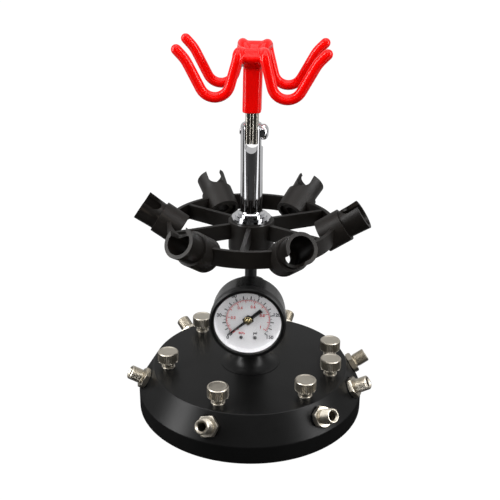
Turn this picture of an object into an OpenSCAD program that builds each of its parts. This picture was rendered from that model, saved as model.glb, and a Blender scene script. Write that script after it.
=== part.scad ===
// Airbrush holder on an air manifold: a weighted base with six needle-valve outlets and one
// inlet, a pressure gauge on a column, a turning carousel of six cups, and a tilting hook.
// Millimetres. The origin is the middle of the base on the table, +Z up, the gauge faces -Y.

/* [Base] */
// Radius of the base at its foot
base_r = 78; // [64:0.5:94]
// Height of the upright foot wall above the body's underside
foot_wall = 12.4; // [6:0.1:15]
// Horizontal run of the sloped skirt
skirt_run = 10.7; // [8:0.1:13]
// Height of the sloped skirt
skirt_rise = 17.5; // [14:0.1:21]
// Thickness of the screwed bottom plate
plate_t = 3; // [2:0.1:4]
// Thickness of the gasket over the bottom plate
gasket_t = 1.2; // [0.8:0.1:1.6]
// How far the rubber feet stand out below the body
foot_gap = 0.6; // [0.4:0.1:2]
// Radius of each rubber foot
foot_r = 7; // [5:0.5:9]
// Width of the air gallery under the valves
gallery_w = 9; // [7:0.1:11]
// Depth of the air gallery
gallery_depth = 4; // [3:0.1:5]

/* [Valves and fittings] */
// Number of outlets round the base
outlets = 6; // [3:1:6]
// Bearing of the first outlet from +X
first_outlet = 12; // [0:1:30]
// Bearing of the inlet from +X
inlet_bearing = -14; // [-24:1:-10]
// Distance from the deck's edge to the valve axes
valve_inset = 10; // [8:0.1:12]
// Radius of a valve's knurled knob
knob_r = 7.1; // [5.5:0.1:8.6]
// Height of a valve's knob
knob_h = 7.6; // [6:0.1:9.5]
// Radius of the bonnet that shows under the knob
bonnet_r = 3.9; // [3.2:0.1:4.2]
// Height of the bonnet above the deck
bonnet_h = 4.3; // [3:0.1:6]
// Radius of the valve stem
valve_stem_r = 2; // [1.6:0.1:2.4]
// Outside radius of the 1/8 inch pipe thread
thread_r = 4.865; // [4:0.005:5.8]
// Length of the threaded barrel outside the hexagon
barrel_l = 9.5; // [8:0.1:12]
// Width of the fitting's hexagon across its flats
hex_af = 13; // [11:0.1:15.5]
// Thickness of the fitting's hexagon
hex_t = 3.5; // [3:0.1:4.5]
// Radius of the air bore in a fitting
air_r = 2.8; // [2:0.1:3.3]

/* [Column and gauge] */
// Radius of the column's neck
column_r = 10; // [9:0.1:12]
// Height of the column above the deck
column_h = 61.5; // [56:0.5:74]
// Radius of the column's flared foot
column_foot_r = 20.5; // [18:0.5:25]
// Drop from the column's top to the gauge axis
gauge_drop = 13.6; // [12.8:0.1:16]
// Radius of the gauge case
case_r = 24; // [23:0.1:29]
// Depth of the gauge case
case_l = 22; // [21:0.1:26]
// Width of the bezel beyond the case
bezel_lip = 0.8; // [0.6:0.1:1.6]
// Gap between the column and the gauge's back
gauge_standoff = 2.4; // [2:0.1:4]
// Bearing of the dial's zero mark, from the dial's right
zero_bearing = 220; // [210:1:225]

/* [Carousel] */
// Radius of the pillar rod
rod_r = 4; // [3.5:0.1:4.8]
// Length of rod that shows under the carousel
rod_show = 22.4; // [16:0.1:30]
// Radius of the carousel's hub
hub_r = 15; // [12.5:0.1:18]
// Height of the hub
hub_h = 22.1; // [18.5:0.1:26.5]
// Outside radius of the carousel's ring band
band_r = 55; // [46:0.5:66]
// Height of the ring band
band_h = 11; // [9:0.1:13.2]
// Thickness of the ring band and spokes
band_t = 2.8; // [2.2:0.1:3.4]
// Number of cups and of spokes
cups = 6; // [3:1:6]
// Bearing of the first cup from +X
first_cup = -3; // [-30:1:30]
// Tilt of the cups above level
cup_tilt = 33.5; // [25:0.5:40]
// Outside radius of a sleeve
sleeve_r = 11; // [10.8:0.1:12.4]
// Length of a sleeve
sleeve_l = 16.5; // [13.8:0.1:19.8]
// Outside radius of a cup inside its sleeve
cup_r = 9.55; // [9.35:0.05:9.75]
// Outside radius of a cup at its mouth
mouth_r = 10; // [9.8:0.1:11]
// Radius of a cup's bore
bore_r = 7.65; // [6.5:0.05:8]
// How far a cup stands out of its sleeve
cup_show = 13.7; // [12:0.1:16.5]
// Width of a cup's slot
slot_w = 10.6; // [8.8:0.1:11]

/* [Post and hook] */
// Radius of the fork post
post_r = 7.15; // [6.6:0.05:8.5]
// Height of the fork post above its washer
post_h = 62.4; // [52:0.1:75]
// Height of the clamp screw's axis below the post's top
clamp_drop = 6; // [5:0.1:8]
// Radius of each hook rod
wire_r = 2; // [1.6:0.05:2.2]
// Thickness of the dipped coating on a rod
coat_t = 1; // [0.6:0.05:1.2]
// Length of rod from the clamp screw up to the crest
crest_rise = 51.5; // [46:0.5:62]
// Half the distance between the front and back arms
arm_offset = 22; // [19:0.5:26]
// Distance from the middle to the bottom of each valley
valley_x = 21.5; // [20:0.1:25]
// Depth of each valley below the crest
valley_drop = 26; // [22:0.1:31]
// Radius of each valley's bend
valley_bend = 9.4; // [8:0.1:10.5]
// Sideways set of the bent arms, to the right
arm_set = 1; // [-3:0.5:3]

/* [Hidden] */
// Clearance on a radius where one piece turns or slides in another
fit = 0.05;
// Gap between the faces of pieces that move past each other
gap = 0.3;
// Steepness of the arms inside and outside each valley
inner_slope = 75;
outer_slope = 62;
tip_slope = 46;
// Straight lengths of the outer arm below and above its bend
outer_run = 19;
tip_run = 7.5;
// Turn of each cup in its sleeve, from slot upwards
cup_turns = [5, 0, 0, -25, 25, 140];
// Sides of a rod's and a coating's swept skin
wire_sides = 8;
coat_sides = 12;

// Levels of the base
body_z = foot_gap;
recess_z = body_z + plate_t + gasket_t;
skirt_z = body_z + foot_wall;
deck_z = skirt_z + skirt_rise;
deck_r = base_r - skirt_run;
valve_circle = deck_r - valve_inset;
recess_r = base_r - 5;
screw_circle = recess_r - 3.6;
feet_circle = valve_circle - gallery_w;
gallery_top = recess_z + gallery_depth;
seat_r = 1.5;
seat_z = gallery_top + 3;
chamber_r = 3.4;
bonnet_thread_r = 4.5;
bonnet_foot_z = deck_z - 9.5;
needle_z = seat_z + 2;
knob_z = deck_z + bonnet_h + gap;
stem_top_z = knob_z + knob_h - 1.6;
hub_nut_r = 14;
neck_thread_r = 8;
neck_socket_z = deck_z - 16.5;

// The middle of the skirt, where the fittings stand square to it
skirt_tilt = atan2(skirt_run, skirt_rise);
skirt_mid_r = base_r - skirt_run / 2;
skirt_mid_z = skirt_z + skirt_rise / 2;
port_depth = 8.5;
spot_depth = 0.8;
seal_t = 1;
port_end = [skirt_mid_r - port_depth * cos(skirt_tilt), skirt_mid_z - port_depth * sin(skirt_tilt)];
chamber_z = (seat_z + bonnet_foot_z) / 2 - 1;
bearings = concat([for (i = [0:outlets - 1]) first_outlet + i * 360 / outlets], [inlet_bearing]);

// Levels of the column and the gauge
column_top = deck_z + column_h;
gauge_z = column_top - gauge_drop;
rod_socket_z = column_top - 7;
column_flat = column_r - 0.8;
gauge_back = -(column_r + gauge_standoff);
bezel_r = case_r + bezel_lip;
bezel_l = 6.1;
case_wall = 1.2;
dial_h = case_l - 4.6;
pointer_h = dial_h + 1.4;
lens_h = case_l - 0.4;
lens_t = 1.8;
bezel_front_h = case_l + 2.6;
dial_r = case_r - case_wall - 0.2;
window_r = dial_r - 1;
pinion_r = 1.5;
sector_r = 12;
sector_y = -(pinion_r + sector_r + 0.1);
movement_h = 9;
dial_screw_x = 4.45;
dial_screw_y = -13;
arbor_r = 0.5;

// Levels of the carousel
hub_z = column_top + rod_show;
hub_top = hub_z + hub_h;
band_z = hub_top - band_h - 0.5;
sleeve_circle = band_r - 0.8;
sleeve_z = band_z + band_h / 2 + 0.75;
sleeve_bore_r = cup_r + fit;
bead = 0.32;
bead_w = 1.6;
slot_root = sleeve_l / 2 + 2.4;
mouth_h = sleeve_l / 2 + cup_show;
cup_foot = -sleeve_l / 2 + 1.8;
washer_r = hub_r - 2.2;
washer_z = hub_top + gap;
washer_t = 2;

// Levels of the post and the hook
post_z = washer_z + washer_t;
post_top = post_z + post_h;
clamp_z = post_top - clamp_drop;
slot_half = 2 * wire_r + 0.15;
slot_bottom_z = clamp_z - 3 * slot_half;
pair_x = wire_r + 0.03;
screw_r = 2;
pair_y = wire_r + screw_r + 0.1;
wire_foot_z = clamp_z - 6.7;
coat_foot_z = clamp_z + 13;
crest_z = clamp_z + crest_rise;
coat_r = wire_r + coat_t;
valley_z = crest_z - valley_drop;

$fn = 64;

// ---------- helpers ----------

module ring(outer, inner, h) {
    difference() {
        cylinder(r = outer, h = h);
        translate([0, 0, -1]) cylinder(r = inner, h = h + 2);
    }
}

module hexagon(across, h) {
    cylinder(r = across / sqrt(3), h = h, $fn = 6);
}

// A round passage between two points in the XZ plane
module passage(a, b, r) {
    run = b - a;
    translate([a.x, 0, a.y]) rotate([0, 90 - atan2(run.y, run.x), 0]) cylinder(r = r, h = norm(run));
}

module at_station(i) {
    rotate([0, 0, bearings[i]]) children();
}

module on_valve_axis() {
    translate([valve_circle, 0, 0]) children();
}

// +Z points straight out of the skirt
module on_skirt() {
    translate([skirt_mid_r, 0, skirt_mid_z]) rotate([0, 90 - skirt_tilt, 0]) children();
}

// +Z points from the gauge's back to its front, +Y up
module on_gauge() {
    translate([0, gauge_back, gauge_z]) rotate([90, 0, 0]) children();
}

// +Z points out of the cup's mouth, -X up
module on_sleeve(k) {
    rotate([0, 0, first_cup + k * 360 / cups])
        translate([sleeve_circle, 0, sleeve_z]) rotate([0, 90 - cup_tilt, 0]) children();
}

// ---------- base ----------

module base_outline() {
    polygon([
        [0, body_z], [base_r - 0.8, body_z], [base_r, body_z + 0.8], [base_r, skirt_z],
        [deck_r, deck_z], [0, deck_z]
    ]);
}

module weight_pockets() {
    inner = hub_nut_r + 6;
    outer = valve_circle - gallery_w / 2 - 4;
    rib = 12;
    difference() {
        translate([0, 0, recess_z - 1]) ring(outer, inner, deck_z - recess_z - 9.5);
        for (i = [0:2]) {
            rotate([0, 0, 30 + i * 120])
                translate([0, -rib / 2, 0]) cube([base_r, rib, deck_z]);
        }
    }
}

module station_drillings() {
    on_valve_axis() translate([0, 0, gallery_top - 1]) cylinder(r = seat_r, h = seat_z - gallery_top + 2);
    on_valve_axis() translate([0, 0, seat_z]) cylinder(r = chamber_r, h = bonnet_foot_z - seat_z + 1);
    on_valve_axis() translate([0, 0, bonnet_foot_z]) cylinder(r = bonnet_thread_r + fit, h = 20);
    passage(port_end, [valve_circle, chamber_z], 1.8);
    on_skirt() translate([0, 0, -port_depth]) cylinder(r = thread_r + fit, h = port_depth + 5);
    on_skirt() translate([0, 0, -spot_depth]) cylinder(r = hex_af / sqrt(3) + 0.4, h = spot_depth + 5);
}

module manifold_body() {
    color([0.05, 0.05, 0.055]) difference() {
        rotate_extrude() base_outline();
        translate([0, 0, body_z - 1]) cylinder(r = recess_r, h = recess_z - body_z + 1);
        translate([0, 0, recess_z - 1])
            ring(valve_circle + gallery_w / 2, valve_circle - gallery_w / 2, gallery_depth + 1);
        weight_pockets();
        translate([0, 0, recess_z - 1]) cylinder(r = hub_nut_r + 2, h = neck_socket_z - recess_z + 1);
        rotate([0, 0, 30]) translate([0, -2, recess_z - 1]) cube([valve_circle, 4, gallery_depth]);
        cylinder(r = neck_thread_r + fit, h = deck_z + 1);
        for (i = [0:outlets]) {
            at_station(i) station_drillings();
        }
        for (i = [0:5]) {
            rotate([0, 0, 60 * i]) translate([screw_circle, 0, 0]) cylinder(r = 1.5, h = recess_z + 5);
        }
    }
}

module base_gasket() {
    color([0.12, 0.12, 0.12]) difference() {
        translate([0, 0, recess_z - gasket_t]) cylinder(r = recess_r - 0.2, h = gasket_t);
        for (i = [0:5]) {
            rotate([0, 0, 60 * i]) translate([screw_circle, 0, 0]) cylinder(r = 1.7, h = recess_z + 5);
        }
    }
}

module base_plate() {
    color([0.1, 0.1, 0.1]) difference() {
        translate([0, 0, body_z]) cylinder(r = recess_r - 0.2, h = plate_t);
        for (i = [0:5]) {
            rotate([0, 0, 60 * i]) translate([screw_circle, 0, 0]) {
                cylinder(r = 1.7, h = recess_z);
                translate([0, 0, body_z - 0.01]) cylinder(r1 = 3.1, r2 = 1.7, h = 1.4);
            }
        }
        for (i = [0:3]) {
            rotate([0, 0, 45 + 90 * i])
                translate([feet_circle, 0, 0]) cylinder(r = foot_r + fit, h = body_z + plate_t / 3);
        }
    }
}

module base_screws() {
    color([0.5, 0.5, 0.52]) for (i = [0:5]) {
        rotate([0, 0, 60 * i]) translate([screw_circle, 0, body_z + 0.02]) {
            cylinder(r1 = 3, r2 = 1.5, h = 1.4);
            cylinder(r = 1.5, h = plate_t + gasket_t + 4);
        }
    }
}

module rubber_feet() {
    color([0.08, 0.08, 0.08]) for (i = [0:3]) {
        rotate([0, 0, 45 + 90 * i]) translate([feet_circle, 0, 0]) {
            cylinder(r1 = foot_r - 0.5, r2 = foot_r, h = foot_gap / 2);
            translate([0, 0, foot_gap / 2]) cylinder(r = foot_r, h = foot_gap / 2 + plate_t / 3);
        }
    }
}

// ---------- column ----------

module column_outline() {
    flare = column_foot_r - column_r;
    foot_edge = 0.3;
    translate([0, deck_z]) square([column_foot_r, foot_edge]);
    translate([column_r, deck_z + foot_edge]) difference() {
        square([flare, flare]);
        translate([flare, flare]) circle(r = flare);
    }
    translate([0, deck_z]) polygon([
        [0, 0], [column_r, 0], [column_r, column_h - 0.8], [column_r - 0.8, column_h], [0, column_h]
    ]);
    translate([0, neck_socket_z - 7.6]) square([neck_thread_r, deck_z - neck_socket_z + 7.6]);
}

module column() {
    color([0.06, 0.06, 0.065]) difference() {
        rotate_extrude() column_outline();
        cylinder(r = 2.5, h = rod_socket_z - 3);
        translate([0, 0, rod_socket_z]) cylinder(r = rod_r + fit, h = 20);
        translate([0, 0, gauge_z]) rotate([90, 0, 0]) cylinder(r = 1.5, h = column_r);
        translate([0, -column_flat + 6, gauge_z]) rotate([90, 0, 0]) cylinder(r = thread_r + fit, h = 20);
        translate([0, -column_flat, gauge_z]) rotate([90, 0, 0]) cylinder(r = hex_af / sqrt(3) + 0.9, h = 9);
        translate([0, 0, deck_z]) rotate_extrude() translate([12.5, 0]) circle(r = 0.95);
    }
}

module column_o_ring() {
    color([0.1, 0.1, 0.1]) translate([0, 0, deck_z + 0.1]) intersection() {
        rotate_extrude() translate([12.5, 0]) circle(r = 0.85);
        translate([0, 0, -0.1]) cylinder(r = 20, h = 3);
    }
}

module column_washer() {
    color("silver") translate([0, 0, neck_socket_z - 1.6]) ring(hub_nut_r, neck_thread_r + fit, 1.6);
}

module column_nut() {
    color("silver") difference() {
        translate([0, 0, neck_socket_z - 7.6]) hexagon(2 * hub_nut_r - 4, 6);
        cylinder(r = neck_thread_r + 0.02, h = deck_z);
    }
}

// ---------- valves and fittings ----------

module valve_bonnets() {
    color([0.75, 0.74, 0.7]) for (i = [0:outlets]) {
        at_station(i) on_valve_axis() difference() {
            union() {
                translate([0, 0, bonnet_foot_z]) cylinder(r = bonnet_thread_r, h = deck_z - bonnet_foot_z);
                cylinder_between(deck_z, deck_z + bonnet_h - 0.4, bonnet_r);
                translate([0, 0, deck_z + bonnet_h - 0.4]) cylinder(r1 = bonnet_r, r2 = bonnet_r - 0.4, h = 0.4);
            }
            cylinder(r = valve_stem_r + fit, h = 2 * deck_z);
            translate([0, 0, bonnet_foot_z - 1]) cylinder(r = valve_stem_r + 1.5, h = 3);
        }
    }
}

module cylinder_between(z0, z1, r) {
    translate([0, 0, z0]) cylinder(r = r, h = z1 - z0);
}

module valve_o_rings() {
    color([0.1, 0.1, 0.1]) for (i = [0:outlets]) {
        at_station(i) on_valve_axis() translate([0, 0, bonnet_foot_z + 1])
            rotate_extrude() translate([valve_stem_r + 0.78, 0]) circle(r = 0.7);
    }
}

module valve_stem(i) {
    color([0.72, 0.62, 0.38]) at_station(i) on_valve_axis() {
        translate([0, 0, seat_z]) cylinder(r1 = seat_r - fit, r2 = valve_stem_r, h = needle_z - seat_z);
        translate([0, 0, seat_z - 2]) cylinder(r1 = 0.4, r2 = seat_r - fit, h = 2);
        cylinder_between(needle_z, stem_top_z, valve_stem_r);
    }
}

module valve_knob(i) {
    bevel = 0.7;
    color([0.75, 0.74, 0.7]) at_station(i) on_valve_axis() translate([0, 0, knob_z]) difference() {
        rotate_extrude() polygon([
            [0, 0], [knob_r - bevel, 0], [knob_r, bevel], [knob_r, knob_h - bevel],
            [knob_r - bevel, knob_h], [0, knob_h]
        ]);
        translate([0, 0, -1]) cylinder(r = valve_stem_r + fit, h = stem_top_z - knob_z + 1 + gap);
    }
}

module fitting(i) {
    barrel_z = seal_t - spot_depth + hex_t;
    color([0.76, 0.75, 0.71]) at_station(i) on_skirt() difference() {
        union() {
            translate([0, 0, -port_depth + 0.5]) cylinder(r = thread_r, h = port_depth + 1);
            translate([0, 0, seal_t - spot_depth]) hexagon(hex_af, hex_t);
            cylinder_between(barrel_z, barrel_z + barrel_l - 0.7, thread_r);
            translate([0, 0, barrel_z + barrel_l - 0.7]) cylinder(r1 = thread_r, r2 = thread_r - 0.7, h = 0.7);
        }
        translate([0, 0, -20]) cylinder(r = air_r, h = 60);
        translate([0, 0, barrel_z + barrel_l - 1.1]) cylinder(r1 = air_r, r2 = air_r + 1.11, h = 1.11);
    }
}

module fitting_seals() {
    color([0.1, 0.1, 0.1]) for (i = [0:outlets]) {
        at_station(i) on_skirt() translate([0, 0, -spot_depth]) ring(hex_af / 2 - 0.2, thread_r + fit, seal_t);
    }
}

// ---------- gauge ----------

module gauge_case() {
    step = 0.45;
    color([0.03, 0.03, 0.035]) on_gauge() difference() {
        rotate_extrude() polygon([
            [0, 0], [case_r - 2.4, 0], [case_r - step, 2], [case_r - step, 5], [case_r, 5],
            [case_r, case_l - 3], [case_r - 0.3, case_l - 3], [case_r - 0.3, case_l], [0, case_l]
        ]);
        translate([0, 0, case_wall]) cylinder(r = case_r - case_wall - 0.2, h = case_l);
        translate([0, 0, -1]) cylinder(r = thread_r + 0.3, h = 5);
    }
}

module gauge_bezel() {
    color([0.03, 0.03, 0.035]) on_gauge() rotate_extrude() polygon([
        [case_r + 0.05, bezel_front_h - bezel_l], [bezel_r - 0.5, bezel_front_h - bezel_l],
        [bezel_r, bezel_front_h - bezel_l + 0.5], [bezel_r, bezel_front_h - 1],
        [bezel_r - 1, bezel_front_h], [window_r + 0.6, bezel_front_h], [window_r, bezel_front_h - 0.8],
        [window_r, lens_h + lens_t + 0.02], [case_r + 0.05, lens_h + lens_t + 0.02]
    ]);
}

module gauge_lens() {
    color([0.85, 0.9, 0.92, 0.3]) on_gauge() translate([0, 0, case_l + 0.02])
        cylinder(r = case_r - 0.2, h = lens_h + lens_t - case_l - 0.02);
}

module gauge_dial() {
    color("white") on_gauge() difference() {
        translate([0, 0, dial_h]) cylinder(r = dial_r - 0.1, h = 0.6);
        cylinder(r = 1.4, h = case_l + 5);
        for (x = [-dial_screw_x, dial_screw_x]) {
            translate([x, dial_screw_y, 0]) cylinder(r = 0.7, h = case_l + 5);
        }
    }
}

module dial_screws() {
    color([0.7, 0.7, 0.7]) on_gauge() for (x = [-dial_screw_x, dial_screw_x]) {
        translate([x, dial_screw_y, dial_h - 1.4]) cylinder(r = 0.6, h = 2.1);
        translate([x, dial_screw_y, dial_h + 0.62]) cylinder(r = 1.2, h = 0.4);
    }
}

module gauge_connector() {
    inner_z = 1.25;
    color([0.75, 0.6, 0.3]) on_gauge() difference() {
        union() {
            translate([0, 0, -(gauge_standoff + column_r - column_flat) - 5.5]) cylinder(r = thread_r, h = 12);
            translate([0, 0, -(gauge_standoff + column_r - column_flat)])
                hexagon(hex_af, gauge_standoff + column_r - column_flat);
            translate([-4.5, -19.5, inner_z]) cube([9, 24, 6.5]);
        }
        translate([0, 0, -20]) cylinder(r = 1.5, h = 24);
    }
}

module bourdon_tube() {
    color([0.78, 0.6, 0.3]) on_gauge() translate([0, 0, 8]) difference() {
        rotate([0, 0, -70]) rotate_extrude(angle = 250) translate([17.6, 0]) square([1.4, 5.5], center = true);
        rotate([0, 0, -70]) rotate_extrude(angle = 250) translate([17.6, 0]) square([0.8, 4.7], center = true);
    }
}

module movement_frame() {
    plate_h = 0.8;
    color([0.78, 0.66, 0.36]) on_gauge() difference() {
        union() {
            for (z = [movement_h, movement_h + 5.5]) {
                translate([-7, sector_y - 1.4, z]) cube([14, 5 - sector_y, plate_h]);
            }
            for (x = [-6, 6]) {
                translate([x, 2.2, movement_h]) cylinder(r = 0.8, h = 6);
            }
            translate([0, -5, 7.75]) cylinder(r = 2.5, h = movement_h - 7.75);
            for (x = [-dial_screw_x, dial_screw_x]) {
                translate([x, dial_screw_y, movement_h + 5.5]) cylinder(r = 1.4, h = dial_h - movement_h - 5.52);
            }
        }
        for (x = [-dial_screw_x, dial_screw_x]) {
            translate([x, dial_screw_y, dial_h - 1.5]) cylinder(r = 0.62, h = 2);
        }
        translate([0, 0, movement_h - 0.5]) cylinder(r = arbor_r + fit, h = 10);
        translate([0, sector_y, movement_h - 0.5]) cylinder(r = arbor_r + fit, h = 10);
    }
}

// The toothed edges of the sector and its pinion are plain arcs at their pitch radii
module sector_gear() {
    start = 90 - 16 + 1;
    color([0.8, 0.7, 0.4]) on_gauge() translate([0, sector_y, 0]) {
        translate([0, 0, movement_h + 0.4]) cylinder(r = arbor_r, h = 5.8);
        translate([0, 0, movement_h + 2.4]) rotate([0, 0, start - 22])
            rotate_extrude(angle = 44) square([sector_r, 1.1]);
        translate([0, 0, movement_h + 2]) cylinder(r = 1.4, h = 2);
    }
}

module pointer_arbor() {
    color([0.8, 0.7, 0.4]) on_gauge() {
        translate([0, 0, movement_h + 0.2]) cylinder(r = arbor_r, h = pointer_h + 0.2 - movement_h);
        translate([0, 0, movement_h + 2]) cylinder(r = pinion_r, h = 2);
    }
}

module gauge_pointer() {
    reach = dial_r - 5;
    color([0.02, 0.02, 0.02]) on_gauge() difference() {
        union() {
            translate([0, 0, pointer_h]) rotate([0, 0, zero_bearing]) linear_extrude(height = 0.6)
                polygon([[-11.2, -1.4], [-11.2, 1.4], [0, 1.1], [reach, 0.35], [reach, -0.35], [0, -1.1]]);
            translate([0, 0, pointer_h]) cylinder(r = 2.1, h = 1.3);
        }
        translate([0, 0, dial_h]) cylinder(r = arbor_r + 0.02, h = pointer_h - dial_h + 0.42);
    }
}

// ---------- pillar and carousel ----------

module pillar_rod() {
    color([0.05, 0.05, 0.05]) difference() {
        cylinder_between(rod_socket_z + 0.2, post_z + 11, rod_r);
        translate([0, 0, hub_z + 2.8]) ring(rod_r + 1, rod_r - 0.4, 1.4);
    }
}

module hub_clip() {
    color([0.4, 0.4, 0.42]) translate([0, 0, hub_z + 2.85]) ring(rod_r + 3.4, rod_r - 0.38, 1.3);
}

module thrust_washer() {
    color([0.85, 0.85, 0.8]) translate([0, 0, hub_z + 4.2]) ring(rod_r + 4, rod_r + 0.05, 1.3);
}

module spoke(k) {
    rotate([0, 0, first_cup - 180 / cups + k * 360 / cups])
        translate([0, -band_t / 2, band_z + 0.3]) cube([band_r - 1, band_t, band_h - 0.6]);
}

module carousel_frame() {
    round_r = 3;
    color([0.1, 0.095, 0.09]) difference() {
        union() {
            translate([0, 0, band_z]) ring(band_r, band_r - band_t, band_h);
            for (k = [0:cups - 1]) {
                spoke(k);
            }
            rotate_extrude() {
                translate([0, hub_z + round_r]) square([hub_r, hub_h - round_r]);
                translate([0, hub_z]) square([hub_r - round_r, hub_h]);
                translate([hub_r - round_r, hub_z + round_r]) circle(r = round_r);
            }
        }
        translate([0, 0, hub_z - 1]) cylinder(r = rod_r + 2 * fit, h = hub_h + 2);
        translate([0, 0, hub_z - 1]) cylinder(r = rod_r + 4.6, h = 1 + 5.8);
        for (k = [0:cups - 1]) {
            on_sleeve(k) translate([0, 0, -sleeve_l / 2]) cylinder(r = sleeve_r, h = sleeve_l);
        }
    }
}

module cup_sleeves() {
    groove_z = 2;
    color([0.1, 0.095, 0.09]) for (k = [0:cups - 1]) {
        on_sleeve(k) difference() {
            translate([0, 0, -sleeve_l / 2]) cylinder(r = sleeve_r, h = sleeve_l);
            translate([0, 0, -sleeve_l / 2 - 1]) cylinder(r = cup_r - 1, h = sleeve_l + 2);
            translate([0, 0, cup_foot - gap]) cylinder(r = sleeve_bore_r, h = sleeve_l);
            translate([0, 0, groove_z - 0.1]) cylinder(r = cup_r + bead + fit, h = bead_w + 0.2);
        }
    }
}

module cup(k) {
    neck = sleeve_l / 2 + gap;
    groove_z = 2;
    color([0.09, 0.085, 0.08]) on_sleeve(k) rotate([0, 0, cup_turns[k]]) difference() {
        union() {
            cylinder_between(cup_foot, neck, cup_r);
            cylinder_between(groove_z, groove_z + bead_w, cup_r + bead);
            cylinder_between(neck, neck + 1.2, cup_r - 0.2);
            translate([0, 0, neck + 1.2]) cylinder(r1 = cup_r - 0.2, r2 = mouth_r, h = mouth_h - neck - 1.2);
        }
        cylinder_between(cup_foot + 2, mouth_h + 1, bore_r);
        cylinder_between(cup_foot - 1, mouth_h, bore_r - 3.4);
        translate([0, 0, slot_root + slot_w / 2]) rotate([0, -90, 0]) cylinder(r = slot_w / 2, h = 20);
        translate([-20, -slot_w / 2, slot_root + slot_w / 2]) cube([20, slot_w, cup_show]);
    }
}

// ---------- post, clamp and hook ----------

module hub_washer() {
    color([0.8, 0.8, 0.78]) translate([0, 0, washer_z]) ring(washer_r, rod_r + fit, washer_t);
}

module fork_post() {
    flange_r = post_r + 3.6;
    blend = 1.4;
    dome = 3;
    cheek_x = slot_half + 1.85;
    color([0.83, 0.83, 0.85]) difference() {
        rotate_extrude() {
            translate([0, post_z]) square([flange_r, 1.8]);
            translate([0, post_z]) square([post_r + 1.6, 3]);
            translate([post_r, post_z + 3]) difference() {
                square([blend, blend]);
                translate([blend, blend]) circle(r = blend);
            }
            translate([0, post_z]) square([post_r, post_h - dome]);
            translate([0, post_z]) square([post_r - dome, post_h]);
            translate([post_r - dome, post_top - dome]) circle(r = dome);
        }
        translate([0, 0, post_z - 1]) cylinder(r = rod_r + 0.02, h = 12.2);
        translate([0, 0, slot_bottom_z + slot_half]) rotate([90, 0, 0])
            cylinder(r = slot_half, h = 30, center = true);
        translate([-slot_half, -15, slot_bottom_z + slot_half]) cube([2 * slot_half, 30, post_h]);
        translate([cheek_x, -15, clamp_z - 10]) cube([10, 30, 30]);
        translate([0, 0, clamp_z]) rotate([0, 90, 0]) cylinder(r = screw_r + 0.02, h = 30, center = true);
    }
}

module clamp_screw() {
    head_r = 5;
    head_x = slot_half + 1.85;
    color([0.8, 0.8, 0.82]) translate([0, 0, clamp_z]) rotate([0, 90, 0]) {
        cylinder_between(-post_r - 0.5, head_x + 1, screw_r);
        cylinder_between(head_x, head_x + 2.2, head_r);
        translate([0, 0, head_x + 2.2]) cylinder(r1 = head_r, r2 = head_r - 0.9, h = 1.4);
        translate([0, 0, head_x + 3.6]) cylinder(r1 = head_r - 0.9, r2 = head_r - 2.6, h = 0.9);
    }
}

function bezier(a, b, c, d, n) = [
    for (i = [0:n]) let (t = i / n)
        pow(1 - t, 3) * a + 3 * t * pow(1 - t, 2) * b + 3 * t * t * (1 - t) * c + pow(t, 3) * d
];

// The right-hand arm in its own plane, [x, z], from the shoulder to the tip
valley_centre = [valley_x, valley_z + valley_bend];
inner_end = valley_centre + valley_bend * [-sin(inner_slope), -cos(inner_slope)];
shoulder_z = crest_z - 5;
shoulder = inner_end + (shoulder_z - inner_end.y) / sin(inner_slope) * [-cos(inner_slope), sin(inner_slope)];
outer_end = valley_centre + valley_bend * [sin(outer_slope), -cos(outer_slope)];
bend_start = outer_end + (outer_run - 3) * [cos(outer_slope), sin(outer_slope)];
bend_corner = outer_end + outer_run * [cos(outer_slope), sin(outer_slope)];
arm_tip = bend_corner + tip_run * [cos(tip_slope), sin(tip_slope)];
tip_start = bend_corner + 3 * [cos(tip_slope), sin(tip_slope)];

function in_plane(p) = [p.x, arm_offset, p.y];

// The middle line of one rod in the +X, +Y quarter, from a height on the stem to the tip
function rod_line(start_z) =
    let (
        stem_end = [pair_x, pair_y, crest_z - 13],
        fan = [shoulder.x - 1.2, arm_offset - 4.5, crest_z],
        rise = bezier(stem_end, stem_end + [0, 0, 7], fan + [-1.4, -7, 0.2], fan, 9),
        turn = bezier(fan, fan + [0.9, 4.2, -0.2], in_plane(shoulder + [-0.9, 3.4]), in_plane(shoulder), 5),
        valley = [for (a = [270 - inner_slope:13.7:270 + outer_slope])
            in_plane(valley_centre + valley_bend * [cos(a), sin(a)])],
        outer = [outer_end, bend_start, (bend_start + 2 * bend_corner + tip_start) / 4, tip_start, arm_tip]
    )
    concat(
        [[pair_x, pair_y, start_z]],
        rise,
        [for (i = [1:len(turn) - 1]) turn[i]],
        valley,
        [for (p = outer) in_plane(p)]
    );

function unit(v) = v / norm(v);

// The rings of a tube along a line, with a rounded end of two smaller rings
function tube_rings(line, r, sides, side_ref) =
    let (
        n = len(line),
        last = unit(line[n - 1] - line[n - 2]),
        stations = concat(
            [for (i = [0:n - 1]) [line[i], r, unit(line[min(i + 1, n - 1)] - line[max(i - 1, 0)])]],
            [for (a = [35, 65]) [line[n - 1] + r * sin(a) * last, r * cos(a), last]]
        )
    )
    [for (s = stations)
        let (u = unit(cross(s[2], side_ref)), v = cross(s[2], u))
            for (j = [0:sides - 1]) s[0] + s[1] * (cos(j * 360 / sides) * u + sin(j * 360 / sides) * v)];

module tube(line, r, sides, side_ref) {
    points = tube_rings(line, r, sides, side_ref);
    rings = len(points) / sides;
    walls = [
        for (i = [0:rings - 2], j = [0:sides - 1])
            let (a = i * sides + j, b = i * sides + (j + 1) % sides)
                each [[b, a, a + sides], [b, a + sides, b + sides]]
    ];
    caps = [[for (j = [0:sides - 1]) j], [for (j = [sides - 1:-1:0]) (rings - 1) * sides + j]];
    polyhedron(points = points, faces = concat(walls, caps));
}

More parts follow.
